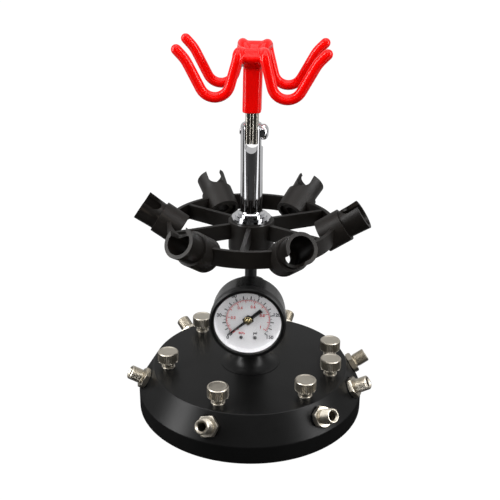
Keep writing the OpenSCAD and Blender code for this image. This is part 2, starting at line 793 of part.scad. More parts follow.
// A point of the +X, +Y quarter in any quarter, with the sideways set above the stem's foot
function set_over(p, side) =
    let (x = side.x * p.x, rise = max(0, p.z - coat_foot_z), low = min(p.z, coat_foot_z))
    rise > 0
        ? [x * cos(arm_set) + rise * sin(arm_set), side.y * p.y, low + rise * cos(arm_set) - x * sin(arm_set)]
        : [x, side.y * p.y, p.z];

module four_tubes(start_z, r, sides) {
    for (sx = [-1, 1], sy = [-1, 1]) {
        tube([for (p = rod_line(start_z)) set_over(p, [sx, sy])], r, sides, [sx, -sy, 0]);
    }
}

module hook_rods() {
    color([0.75, 0.74, 0.72]) four_tubes(wire_foot_z, wire_r, wire_sides);
}

module coated_stem() {
    hull() {
        for (sx = [-1, 1], sy = [-1, 1], z = [coat_foot_z, crest_z - 15]) {
            translate(set_over([pair_x, pair_y, z], [sx, sy])) cylinder(r = coat_r + 0.6, h = 1, $fn = 24);
        }
    }
}

// The dip fills the fork between the rods of each pair where they leave the stem
module crest_web() {
    fan_line = rod_line(coat_foot_z);
    for (sy = [-1, 1], i = [1:2:9]) {
        hull() {
            for (sx = [-1, 1], p = [fan_line[i], fan_line[i + 2]]) {
                translate(set_over([p.x * 0.8, p.y, p.z - 0.4], [sx, sy])) sphere(r = coat_r - 0.5, $fn = 13);
            }
        }
    }
}

module hook_coating() {
    color([0.85, 0.02, 0.02]) difference() {
        union() {
            coated_stem();
            crest_web();
            four_tubes(coat_foot_z + 1, coat_r, coat_sides);
        }
        four_tubes(wire_foot_z, wire_r, wire_sides);
    }
}

// ---------- nodes ----------

manifold_body();
base_gasket();
base_plate();
base_screws();
rubber_feet();
column();
column_nut();
column_washer();
column_o_ring();
valve_bonnets();
valve_o_rings();
valve_stem(0);  // valve_stem_1
valve_stem(1);  // valve_stem_2
valve_stem(2);  // valve_stem_3
valve_stem(3);  // valve_stem_4
valve_stem(4);  // valve_stem_5
valve_stem(5);  // valve_stem_6
valve_stem(6);  // valve_stem_7
valve_knob(0);  // valve_knob_1
valve_knob(1);  // valve_knob_2
valve_knob(2);  // valve_knob_3
valve_knob(3);  // valve_knob_4
valve_knob(4);  // valve_knob_5
valve_knob(5);  // valve_knob_6
valve_knob(6);  // valve_knob_7
fitting(0);  // outlet_fitting_1
fitting(1);  // outlet_fitting_2
fitting(2);  // outlet_fitting_3
fitting(3);  // outlet_fitting_4
fitting(4);  // outlet_fitting_5
fitting(5);  // outlet_fitting_6
fitting(6);  // inlet_fitting
fitting_seals();
gauge_case();
gauge_bezel();
gauge_lens();
gauge_dial();
dial_screws();
gauge_connector();
bourdon_tube();
movement_frame();
sector_gear();
pointer_arbor();
gauge_pointer();
pillar_rod();
hub_clip();
thrust_washer();
hub_washer();
fork_post();
clamp_screw();
carousel_frame();
cup_sleeves();
cup(0);  // cup_1
cup(1);  // cup_2
cup(2);  // cup_3
cup(3);  // cup_4
cup(4);  // cup_5
cup(5);  // cup_6
hook_rods();
hook_coating();
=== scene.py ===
"""Airbrush holder on an air manifold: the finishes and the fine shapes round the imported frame.

Everything is in metres in the frame's own axes: +Z up the column, the gauge facing -Y.
"""

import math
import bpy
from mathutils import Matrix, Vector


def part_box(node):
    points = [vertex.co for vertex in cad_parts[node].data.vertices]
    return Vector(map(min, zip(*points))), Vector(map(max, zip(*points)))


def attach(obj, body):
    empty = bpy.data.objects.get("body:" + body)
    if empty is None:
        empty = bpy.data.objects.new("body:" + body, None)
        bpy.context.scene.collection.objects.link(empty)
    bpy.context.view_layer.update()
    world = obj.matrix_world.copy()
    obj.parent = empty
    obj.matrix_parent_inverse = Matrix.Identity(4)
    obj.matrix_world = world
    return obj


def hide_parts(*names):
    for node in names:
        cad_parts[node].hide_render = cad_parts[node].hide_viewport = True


bl_info = {
    "name": "Airbrush Holder",
    "version": (1, 0, 0),
    "blender": (4, 5, 0),
    "location": "3D View > Sidebar > Airbrush Holder",
    "description": "Models the knurled knobs, fittings, gauge face, cups "
        "and dipped hook of an airbrush holder",
    "category": "Object",
}

import bpy
from mathutils import Matrix, Vector

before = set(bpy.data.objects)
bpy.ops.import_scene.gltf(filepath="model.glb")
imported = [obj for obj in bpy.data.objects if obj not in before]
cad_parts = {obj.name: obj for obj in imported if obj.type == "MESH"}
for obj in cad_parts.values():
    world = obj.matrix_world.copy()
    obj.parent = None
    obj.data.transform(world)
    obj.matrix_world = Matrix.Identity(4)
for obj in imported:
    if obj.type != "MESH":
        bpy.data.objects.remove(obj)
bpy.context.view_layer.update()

MM = 0.001

# Sizes that the frame's solids share, in millimetres
BEARINGS = [12, 72, 132, 192, 252, 312, -14]
FITTING_NODES = [f"outlet_fitting_{i}" for i in range(1, 7)] + ["inlet_fitting"]
VALVE_RADIUS = 57.3
SKIRT_RADIUS = 72.65
SKIRT_HEIGHT = 21.75
SKIRT_TILT = math.atan2(10.7, 17.5)
KNOB_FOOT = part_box("valve_knob_1")[0].z / MM
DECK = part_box("manifold_body")[1].z / MM
SKIRT_FOOT = DECK - 17.5
SEAT_DEPTH = 9.5
STEM_HOLE = 2.06
KNOB_R = 7.1
THREAD_R = 4.865
GAUGE_HEIGHT = (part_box("gauge_dial")[0].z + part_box("gauge_dial")[1].z) / 2 / MM
GAUGE_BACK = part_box("gauge_case")[1].y / MM
DIAL_FRONT = 18.0
DIAL_ZERO = math.radians(225.5)
POINTER_REST = math.radians(220)
POINTER_BACK = 18.8
DIAL_SCREWS = [(-4.45, -13), (4.45, -13)]
FULL_SCALE = 150
INNER_SHARE = 145.04 / FULL_SCALE
INK_HEIGHT = 0.03
CLAMP_HEIGHT = (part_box("clamp_screw")[0].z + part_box("clamp_screw")[1].z) / 2 / MM
WIRE_R = 2.0
ROD_SIDE = WIRE_R + 0.03
ROD_BACK = 2 * WIRE_R + 0.1
STEM_FOOT = CLAMP_HEIGHT + 13
WIRE_FOOT = CLAMP_HEIGHT - 6.7
CREST = CLAMP_HEIGHT + 51.5
ARM_SET = math.radians(1)

# What the lamps point at, in metres
LAMP_AIM = Vector((0, 0, 0.12))


# ---------- sizes and colours that a user would change ----------


def length(name, text, millimetres, low, high):
    return bpy.props.FloatProperty(
        name=name, description=text, default=millimetres * MM, min=low * MM, max=high * MM, precision=5,
        unit="LENGTH",
    )


def linear(code):
    """An sRGB hex colour as linear red, green, blue."""
    parts = [int(code[i : i + 2], 16) / 255 for i in (1, 3, 5)]
    return tuple(c / 12.92 if c <= 0.04045 else ((c + 0.055) / 1.055) ** 2.4 for c in parts)


def colour(name, text, code):
    return bpy.props.FloatVectorProperty(
        name=name, description=text, default=linear(code), min=0, max=1, size=3, subtype="COLOR",
    )


class KnobSettings(bpy.types.PropertyGroup):
    ridges: bpy.props.IntProperty(
        name="Ridges", description="Number of straight knurl ridges round a valve knob", default=38,
        min=24, max=90,
    )
    ridge_depth: length("Ridge depth", "Depth of the knurl", 0.46, 0.1, 0.8)
    metal: colour("Metal", "Colour of the satin nickel plate", "#cfc9bd")


class FittingSettings(bpy.types.PropertyGroup):
    pitch: length("Thread pitch", "Pitch of the 1/8 inch pipe thread", 0.907, 0.5, 1.5)
    depth: length("Thread depth", "Depth of the thread", 0.5, 0.2, 0.6)


class GaugeSettings(bpy.types.PropertyGroup):
    face: colour("Face", "Colour of the dial", "#e9e8ea")
    scale: colour("Scale", "Colour of the outer scale's ink", "#15151a")
    inner_scale: colour("Inner scale", "Colour of the inner scale's ink", "#c22a2e")
    sweep: bpy.props.FloatProperty(
        name="Sweep", description="Angle from the first mark to the last", default=math.radians(267),
        min=math.radians(180), max=math.radians(300), subtype="ANGLE",
    )


class PlasticSettings(bpy.types.PropertyGroup):
    black: colour("Black", "Colour of the carousel's and cups' moulded plastic", "#0b0908")
    edge: length("Edge radius", "Radius of the moulded edges", 0.45, 0.1, 0.8)


class HookSettings(bpy.types.PropertyGroup):
    red: colour("Red", "Colour of the dipped vinyl", "#f00400")
    coat: length("Coat", "Thickness of the coating on a rod", 1.25, 0.4, 1.6)
    skin: length("Skin cell", "Cell size that the arms and stem are merged at", 0.42, 0.3, 1.0)


class EnamelSettings(bpy.types.PropertyGroup):
    black: colour("Black", "Colour of the base's enamel", "#070707")
    edge: length("Edge radius", "Radius of the turned edges", 0.55, 0.1, 1.0)


class StageSettings(bpy.types.PropertyGroup):
    floor: colour("Floor", "Colour of the floor", "#040404")
    light: bpy.props.FloatProperty(
        name="Softbox light", description="Strength of the two softboxes", default=9.0, min=0, max=100,
    )
    fill: bpy.props.FloatProperty(
        name="Fill light", description="Strength of the fill light beside the camera", default=5.0, min=0,
        max=100,
    )
    overhead: bpy.props.FloatProperty(
        name="Overhead light", description="Strength of the broad overhead light", default=2.2, min=0,
        max=10,
    )
    walls: bpy.props.FloatProperty(
        name="Wall light", description="Brightness of the studio's back walls", default=0.55, min=0,
        max=2,
    )


# Name, middle X and Y, width, depth and brightness of each card on the floor, in metres
CARDS = [
    ("card_left", -0.5, -0.195, 0.6, 0.15, 1.3),
    ("card_right", 0.5, -0.195, 0.6, 0.15, 1.2),
    ("card_back", 0, 0.85, 3.0, 1.5, 0.5),
]

SETTINGS = {
    "holder_knobs": KnobSettings,
    "holder_fittings": FittingSettings,
    "holder_gauge": GaugeSettings,
    "holder_plastic": PlasticSettings,
    "holder_hook": HookSettings,
    "holder_enamel": EnamelSettings,
    "holder_stage": StageSettings,
}


# ---------- finishes ----------


def add_node(material, kind, links=None, **settings):
    """Adds a node with its settings, and its inputs set or linked from another node's output."""
    node = material.node_tree.nodes.new(kind)
    for name, value in settings.items():
        setattr(node, name, value)
    for name, value in (links or {}).items():
        if isinstance(value, bpy.types.NodeSocket):
            material.node_tree.links.new(value, node.inputs[name])
        else:
            node.inputs[name].default_value = value
    return node


def finish(
    name, base, second=None, patch=12, rough=0.4, spread=0.05, grain=0.6, height=4, stretch=(1, 1, 1),
    turned=False, edge=None, **sockets,
):
    """A material with an even colour that drifts to a second one, uneven gloss and a fine grain.

    patch and grain are the sizes of the patches and of the grain in millimetres, and height is
    the grain's height in micrometres. turned runs the grain in rings round the piece's own axis.
    """
    found = bpy.data.materials.get(name)
    if found:
        return found
    material = bpy.data.materials.new(name)
    material.use_nodes = True
    tree = material.node_tree
    shader = next(n for n in tree.nodes if n.type == "BSDF_PRINCIPLED")
    place = add_node(material, "ShaderNodeTexCoord").outputs["Object"]
    along = place
    if turned:
        own = add_node(material, "ShaderNodeAttribute", attribute_name="from_axis").outputs["Vector"]
        parts = add_node(material, "ShaderNodeSeparateXYZ", {0: own})
        flat = add_node(material, "ShaderNodeCombineXYZ", {0: parts.outputs[0], 1: parts.outputs[1]})
        radius = add_node(material, "ShaderNodeVectorMath", {0: flat.outputs[0]}, operation="LENGTH")
        along = add_node(material, "ShaderNodeCombineXYZ",
            {0: radius.outputs["Value"], 1: parts.outputs[2]}).outputs[0]
    mapped = add_node(material, "ShaderNodeMapping", {"Vector": along, "Scale": stretch})
    fine = add_node(
        material, "ShaderNodeTexNoise",
        {"Vector": mapped.outputs[0], "Scale": 1 / (grain * MM), "Detail": 3.0, "Roughness": 0.55},
    )
    broad = add_node(
        material, "ShaderNodeTexNoise",
        {"Vector": place, "Scale": 1 / (patch * MM), "Detail": 4.0, "Roughness": 0.6}
    )
    bump = add_node(
        material, "ShaderNodeBump",
        {"Height": fine.outputs["Fac"], "Strength": 1.0, "Distance": height * 1e-6}
    )
    tree.links.new(bump.outputs["Normal"], shader.inputs["Normal"])
    gloss = add_node(
        material, "ShaderNodeMapRange",
        {"Value": broad.outputs["Fac"], "From Min": 0.3, "From Max": 0.7, "To Min": rough - spread,
            "To Max": rough + spread},
    )
    tree.links.new(gloss.outputs["Result"], shader.inputs["Roughness"])
    tint = add_node(
        material, "ShaderNodeMix", {0: broad.outputs["Fac"], 6: (*base, 1), 7: (*(second or base), 1)},
        data_type="RGBA"
    )
    shade = tint.outputs[2]
    if edge:
        # Painted highlight: edges are made lighter where the surface turns sharply, for the light that the
        # rounded edges catch
        sharp = add_node(
            material, "ShaderNodeMapRange",
            {"Value": add_node(material, "ShaderNodeNewGeometry").outputs["Pointiness"], "From Min": 0.53,
                "From Max": 0.62},
        )
        painted_edge_highlight = add_node(
            material, "ShaderNodeMix", {0: sharp.outputs["Result"], 6: shade, 7: (*edge, 1)},
            data_type="RGBA"
        )
        shade = painted_edge_highlight.outputs[2]
    tree.links.new(shade, shader.inputs["Base Color"])
    for socket, value in sockets.items():
        shader.inputs[socket.replace("_", " ")].default_value = value
    return material


def settings(name):
    return getattr(bpy.context.scene, name)


# Black enamel, sprayed and baked on a turned casting: deep black with a soft, broad shine and a
# faint orange peel
def black_enamel():
    black = tuple(settings("holder_enamel").black)
    return finish(
        "enamel_baked_black", black, linear("#0c0c0c"), patch=30, rough=0.36, spread=0.03, grain=1.1,
        height=2, Specular_IOR_Level=0.2,
    )


# Blackened steel, brushed: dark grey with a dull shine
def black_steel():
    return finish(
        "steel_blackened", linear("#101011"), linear("#1b1b1c"), rough=0.36, spread=0.06, grain=0.3,
        height=3, stretch=(1, 1, 0.1),
    )


# Nitrile rubber, moulded: matte charcoal with a faint bloom
def rubber():
    return finish(
        "rubber_nitrile_moulded", linear("#161616"), linear("#232322"), patch=4, rough=0.75, spread=0.08,
        grain=0.35, height=8,
    )


# Zinc plated steel: pale grey with patches of duller plate
def zinc():
    return finish(
        "steel_zinc_plated", linear("#bfc0c2"), linear("#a9aaae"), patch=3, rough=0.32, spread=0.08,
        grain=0.3, height=3, Metallic=1.0,
    )


# Nickel plate on turned brass: warm silver, with tool rings that stretch its highlights. Real
# rings are 0.05 mm apart and are drawn at 0.18 mm so that they show
def satin_nickel():
    metal = tuple(settings("holder_knobs").metal)
    return finish(
        "brass_nickel_plated", metal, linear("#b9b2a4"), patch=5, rough=0.35, spread=0.05, grain=0.18,
        height=0.7, turned=True, Metallic=1.0,
    )


# Brass, turned and bare: yellow metal with a light tarnish
def brass():
    return finish(
        "brass_turned", linear("#c6b98f"), linear("#a5966c"), patch=3, rough=0.24, spread=0.06, grain=0.2,
        height=3, Metallic=1.0,
    )


# Black lacquer, sprayed on pressed steel: smooth, with a clear gloss
def gloss_black():
    return finish(
        "lacquer_gloss_black", linear("#060606"), linear("#0b0b0b"), patch=20, rough=0.24, spread=0.03,
        grain=1.6, height=1.5, Specular_IOR_Level=0.4,
    )


# Black lacquer, rubbed down: a dull satin ring
def satin_black():
    return finish(
        "lacquer_satin_black", linear("#050505"), linear("#090909"), patch=12, rough=0.42, spread=0.04,
        grain=0.8, height=2, Specular_IOR_Level=0.3,
    )


# Float glass, cut to a disc: clear, with a mirror-like surface
def clear_glass():
    return finish(
        "glass_float_clear", linear("#f5fafa"), rough=0.03, spread=0.01, grain=6, height=1, Alpha=0.07,
        IOR=1.5, Transmission_Weight=1.0,
    )


# Painted aluminium sheet: even off-white with a satin surface
def dial_paint():
    face = tuple(settings("holder_gauge").face)
    return finish(
        "paint_dial_white", face, tuple(c * 0.94 for c in face), patch=9, rough=0.45, spread=0.04,
        grain=0.5, height=2
    )


# Screen printing ink: flat and slightly raised
def dial_ink(name, ink):
    return finish(name, ink, tuple(c * 1.25 for c in ink), patch=2, rough=0.55, spread=0.05, grain=0.3,
        height=2)


# Pressed aluminium, painted matte black
def pointer_black():
    return finish(
        "paint_pointer_black", linear("#0a0a0a"), linear("#121212"), patch=3, rough=0.42, spread=0.05,
        grain=0.3, height=3,
    )


# Natural nylon, turned: milky, slightly see-through
def nylon():
    return finish(
        "nylon_natural", linear("#ddd8c8"), linear("#cfc9b6"), patch=4, rough=0.42, spread=0.05,
        grain=0.4, height=4, Subsurface_Weight=0.2, Subsurface_Scale=0.002,
    )


# Chrome plate on polished steel: a clean mirror with hair-fine polishing lines
def chrome():
    return finish(
        "steel_chrome_plated", linear("#e6e6e8"), linear("#dadadd"), patch=25, rough=0.055, spread=0.015,
        grain=0.5, height=0.1, stretch=(1, 1, 0.08), Metallic=1.0,
    )


# Glass-filled nylon, moulded in a spark-eroded tool: matte brown-black with a fine grain, and
# paler edges that are a painted highlight
def moulded_black(name="nylon_moulded_black", rough=0.47):
    black = tuple(settings("holder_plastic").black)
    return finish(
        name, black, linear("#14110e"), patch=7, rough=rough, spread=0.06, grain=0.32, height=5,
        edge=linear("#211d19"), Specular_IOR_Level=0.24,
    )


# Nickel plated spring wire: drawn lines run along it
def wire_nickel():
    return finish(
        "wire_nickel_plated", linear("#d2cdc4"), linear("#b8b2a6"), patch=4, rough=0.17, spread=0.05,
        grain=0.3, height=0.05, stretch=(1, 1, 0.1), Metallic=1.0,
    )


# Plastisol vinyl, hot dipped: thick wet-looking red with slow waves where it ran
def red_vinyl():
    red = tuple(settings("holder_hook").red)
    return finish(
        "vinyl_dipped_red", red, linear("#d20200"), patch=14, rough=0.24, spread=0.03, grain=6.5,
        height=30, Coat_Weight=0.3, Coat_Roughness=0.04, Coat_IOR=1.35, Subsurface_Weight=0.06,
        Subsurface_Scale=0.002, Specular_IOR_Level=0.2,
    )


NODE_FINISHES = {
    black_enamel: ["column"],
    black_steel: ["base_plate", "pillar_rod"],
    rubber: ["base_gasket", "rubber_feet", "column_o_ring", "valve_o_rings", "fitting_seals"],
    zinc: ["base_screws", "column_nut", "column_washer", "dial_screws", "hub_clip"],
    brass: ["gauge_connector", "bourdon_tube", "movement_frame", "sector_gear", "pointer_arbor"]
    + [f"valve_stem_{i}" for i in range(1, 8)],
    gloss_black: ["gauge_case"],
    satin_black: ["gauge_bezel"],
    clear_glass: ["gauge_lens"],
    nylon: ["thrust_washer"],
    chrome: ["fork_post", "hub_washer"],
}


# ---------- modelling helpers ----------


def select_only(*objects):
    if bpy.context.mode != "OBJECT":
        bpy.ops.object.mode_set(mode="OBJECT")
    bpy.ops.object.select_all(action="DESELECT")
    for o in objects:
        o.select_set(True)
    if objects:
        bpy.context.view_layer.objects.active = objects[0]


def wear(piece, material):
    piece.data.materials.clear()
    piece.data.materials.append(material)


def apply_modifier(piece, kind, **settings_):
    select_only(piece)
    modifier = piece.modifiers.new(kind.title(), kind)
    for name, value in settings_.items():
        setattr(modifier, name, value)
    bpy.ops.object.modifier_apply(modifier=modifier.name)


def smooth(piece, degrees=30):
    select_only(piece)
    bpy.ops.object.shade_smooth_by_angle(angle=math.radians(degrees))


def trace(name, points):
    """Draws edges through points in the XZ plane, in millimetres, and leaves them in edit mode."""
    select_only()
    bpy.ops.mesh.primitive_plane_add(size=MM, location=(0, 0, 0))
    piece = bpy.context.object
    piece.name = name
    bpy.ops.object.mode_set(mode="EDIT")
    bpy.ops.mesh.merge(type="CENTER")
    x, z = points[0]
    bpy.ops.transform.translate(value=(x * MM, 0, z * MM))
    for px, pz in points[1:]:
        step = ((px - x) * MM, 0, (pz - z) * MM)
        bpy.ops.mesh.extrude_vertices_move(TRANSFORM_OT_translate={"value": step})
        x, z = px, pz
    return piece


def tidy_faces(merge=0.002):
    """Merges doubled points of the mesh in edit mode and turns its faces outwards."""
    bpy.ops.mesh.select_all(action="SELECT")
    bpy.ops.mesh.remove_doubles(threshold=merge * MM)
    bpy.ops.mesh.normals_make_consistent(inside=False)
    bpy.ops.object.mode_set(mode="OBJECT")


def turn(name, outline, sides=96):
    """Turns an outline of (radius, height) points in millimetres about the Z axis."""
    piece = trace(name, outline)
    bpy.ops.mesh.select_all(action="SELECT")
    bpy.ops.mesh.spin(steps=sides, angle=math.tau, center=(0, 0, 0), axis=(0, 0, 1))
    tidy_faces()
    return piece


def remember_axis(piece):
    """Keeps each point's place about the piece's own axis, for patterns that run round it."""
    own = piece.data.attributes.new("from_axis", "FLOAT_VECTOR", "POINT")
    own.data.foreach_set("vector", [c for v in piece.data.vertices for c in v.co])


def put(piece, matrix):
    """Places a piece and leaves its place in its mesh."""
    piece.matrix_world = matrix
    select_only(piece)
    bpy.ops.object.transform_apply(location=True, rotation=True, scale=True)


def copy_of(piece, name):
    select_only(piece)
    bpy.ops.object.duplicate()
    made = bpy.context.object
    made.name = name
    return made


def cut(piece, tool, operation="DIFFERENCE"):
    apply_modifier(piece, "BOOLEAN", object=tool, operation=operation, solver="EXACT")
    bpy.data.objects.remove(tool)


def settle(piece, material, body, slot, *nodes):
    """Gives a finished piece its material and its body, and hides the nodes that it stands for; slot is not
    used.
    """
    wear(piece, material)
    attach(piece, body)
    if nodes:
        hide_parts(*nodes)


def softened(node, name, width, body, slot, material, angle=35):
    """A copy of a node with its triangles merged, and its sharp edges rounded by width."""
    piece = copy_of(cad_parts[node], name)
    for key in list(piece.keys()):
        if key.startswith("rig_"):
            del piece[key]
    piece.parent = None
    bpy.ops.object.mode_set(mode="EDIT")
    bpy.ops.mesh.select_all(action="SELECT")
    bpy.ops.mesh.remove_doubles(threshold=0.001 * MM)
    bpy.ops.mesh.dissolve_limited(angle_limit=math.radians(0.6))
    bpy.ops.object.mode_set(mode="OBJECT")
    apply_modifier(
        piece, "BEVEL", width=width, segments=2, limit_method="ANGLE", angle_limit=math.radians(angle),
        use_clamp_overlap=True, miter_outer="MITER_ARC", harden_normals=True,
    )
    smooth(piece)
    apply_modifier(piece, "WEIGHTED_NORMAL", mode="FACE_AREA_WITH_ANGLE", weight=90, keep_sharp=True)
    settle(piece, material, body, slot, node)
    return piece


def bend(a, corner, b, t):
    """A point of the curve that rounds a corner from a to b."""
    return (1 - t) ** 2 * a + 2 * t * (1 - t) * corner + t * t * b


def at_bearing(degrees):
    return Matrix.Rotation(math.radians(degrees), 4, "Z")


def on_skirt(degrees):
    """+Z points straight out of the skirt at a bearing."""
    return (
        at_bearing(degrees)
        @ Matrix.Translation((SKIRT_RADIUS * MM, 0, SKIRT_HEIGHT * MM))
        @ Matrix.Rotation(math.pi / 2 - SKIRT_TILT, 4, "Y")
    )


def on_gauge(height=0.0):
    """+Z points from the gauge's back to its front and +Y up, at a height in millimetres."""
    place = Matrix.Translation((0, (GAUGE_BACK - height) * MM, GAUGE_HEIGHT * MM))
    return place @ Matrix.Rotation(math.pi / 2, 4, "X")


# ---------- pieces ----------


class HOLDER_OT_finishes(bpy.types.Operator):
    """Gives the frame's own nodes their finishes"""

    bl_idname = "holder.finishes"
    bl_label = "Frame finishes"
    bl_options = {"REGISTER", "UNDO"}

    def execute(self, context):
        for make, nodes in NODE_FINISHES.items():
            for node in nodes:
                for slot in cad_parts[node].material_slots:
                    slot.material = make()
        return {"FINISHED"}


class HOLDER_OT_base(bpy.types.Operator):
    """Turns the base with rounded edges, and bores its ports and valve seats"""

    bl_idname = "holder.base"
    bl_label = "Base"
    bl_options = {"REGISTER", "UNDO"}

    def execute(self, context):
        edge = settings("holder_enamel").edge / MM
        foot, rim = Vector((78, SKIRT_FOOT)), Vector((67.3, DECK))
        slope = (rim - foot).normalized()
        rounded = [foot - Vector((0, edge))]
        rounded += [bend(foot - Vector((0, edge)), foot, foot + edge * slope, t) for t in (0.33, 0.67, 1.0)]
        rounded += [bend(rim - edge * slope, rim, rim - Vector((edge, 0)), t)
            for t in (0, 0.2, 0.4, 0.6, 0.8, 1.0)]
        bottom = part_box("manifold_body")[0].z / MM
        recess = bottom + 4.2
        outline = [
            (8.05, DECK), (8.05, DECK - 16.5), (16, DECK - 16.5), (16, recess), (73, recess), (73, bottom),
            (78 - edge, bottom), (78, bottom + edge), *[tuple(p) for p in rounded], (8.05, DECK),
        ]
        base = turn("base_casting", outline, sides=192)
        ports, seats = [], []
        for bearing in BEARINGS:
            port = turn("port", [(0, -8.5), (4.9, -8.5), (4.9, -0.8), (7.9, -0.8), (7.9, 5), (0, 5)],
                sides=48)
            put(port, on_skirt(bearing))
            ports.append(port)
            seat = turn(
                "seat",
                [(0, DECK - SEAT_DEPTH), (4.5, DECK - SEAT_DEPTH), (4.5, DECK + 1), (0, DECK + 1)],
                sides=48,
            )
            put(seat, at_bearing(bearing) @ Matrix.Translation((VALVE_RADIUS * MM, 0, 0)))
            seats.append(seat)
        cut(base, join(ports, "ports"))
        cut(base, join(seats, "seats"))
        smooth(base, 35)
        apply_modifier(base, "WEIGHTED_NORMAL", mode="FACE_AREA", weight=80, keep_sharp=True)
        settle(base, black_enamel(), "stand", "black_enamel", "manifold_body")
        return {"FINISHED"}


class HOLDER_OT_knobs(bpy.types.Operator):
    """Models a valve knob with a straight knurl, and copies it to each valve"""

    bl_idname = "holder.knobs"
    bl_label = "Valve knobs"
    bl_options = {"REGISTER", "UNDO"}

    def execute(self, context):
        ridges = settings("holder_knobs").ridges
        depth = settings("holder_knobs").ridge_depth
        outline = [
            (0, 6.3), (STEM_HOLE, 6.3), (STEM_HOLE, 0), (5.9, 0), (6.45, 0.08), (6.95, 0.55),
            (KNOB_R, 0.85), (KNOB_R, 6.75), (6.95, 7.05), (6.5, 7.5), (6.2, 7.6), (5.75, 7.6),
            (5.45, 7.42), (5.0, 7.3), (2.5, 7.24), (0, 7.22),
        ]
        knob = turn("knob", outline, sides=2 * ridges)
        # Every other upright line of points on the side is pushed in, which leaves the ridges
        bpy.ops.object.mode_set(mode="EDIT")
        bpy.ops.mesh.select_all(action="DESELECT")
        bpy.ops.object.mode_set(mode="OBJECT")
        step = math.tau / (2 * ridges)
        for vertex in knob.data.vertices:
            radius = math.hypot(vertex.co.x, vertex.co.y)
            line = round(math.atan2(vertex.co.y, vertex.co.x) / step)
            vertex.select = radius > 7.05 * MM and line % 2 == 0
        bpy.ops.object.mode_set(mode="EDIT")
        shrink = 1 - depth / (KNOB_R * MM)
        bpy.ops.transform.resize(value=(shrink, shrink, 1), center_override=(0, 0, 0))
        bpy.ops.object.mode_set(mode="OBJECT")
        smooth(knob, 22)
        remember_axis(knob)
        for i, bearing in enumerate(BEARINGS, 1):
            piece = copy_of(knob, f"valve_knob_knurled_{i}")
            place = at_bearing(bearing) @ Matrix.Translation((VALVE_RADIUS * MM, 0, KNOB_FOOT * MM))
            put(piece, place @ at_bearing(37 * i))
            settle(piece, satin_nickel(), f"valve_{i}_knob", "nickel", f"valve_knob_{i}")
        bpy.data.objects.remove(knob)
        return {"FINISHED"}


class HOLDER_OT_bonnets(bpy.types.Operator):
    """Models a valve bonnet with a collar and a packing nut's groove, and copies it to each valve"""

    bl_idname = "holder.bonnets"
    bl_label = "Valve bonnets"
    bl_options = {"REGISTER", "UNDO"}

    def execute(self, context):
        foot = DECK - SEAT_DEPTH
        outline = [
            (STEM_HOLE, foot + 2), (3.5, foot + 2), (3.5, foot), (4.2, foot), (4.5, foot + 0.3),
            (4.5, DECK - 0.02), (4.6, DECK), (4.6, DECK + 0.7), (4.35, DECK + 0.95),
            (3.9, DECK + 1.1), (3.9, DECK + 2.5), (3.65, DECK + 2.62), (3.65, DECK + 2.95),
            (3.9, DECK + 3.07), (3.9, DECK + 3.9), (3.6, DECK + 4.25),
            (STEM_HOLE, DECK + 4.25), (STEM_HOLE, foot + 2),
        ]
        bonnet = turn("bonnet", outline, sides=48)
        smooth(bonnet)
        remember_axis(bonnet)
        copies = []
        for i, bearing in enumerate(BEARINGS, 1):
            piece = copy_of(bonnet, f"valve_bonnet_{i}")
            put(piece, at_bearing(bearing) @ Matrix.Translation((VALVE_RADIUS * MM, 0, 0)))
            copies.append(piece)
        for piece in copies:
            settle(piece, satin_nickel(), "stand", "nickel")
        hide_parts("valve_bonnets")
        bpy.data.objects.remove(bonnet)
        return {"FINISHED"}


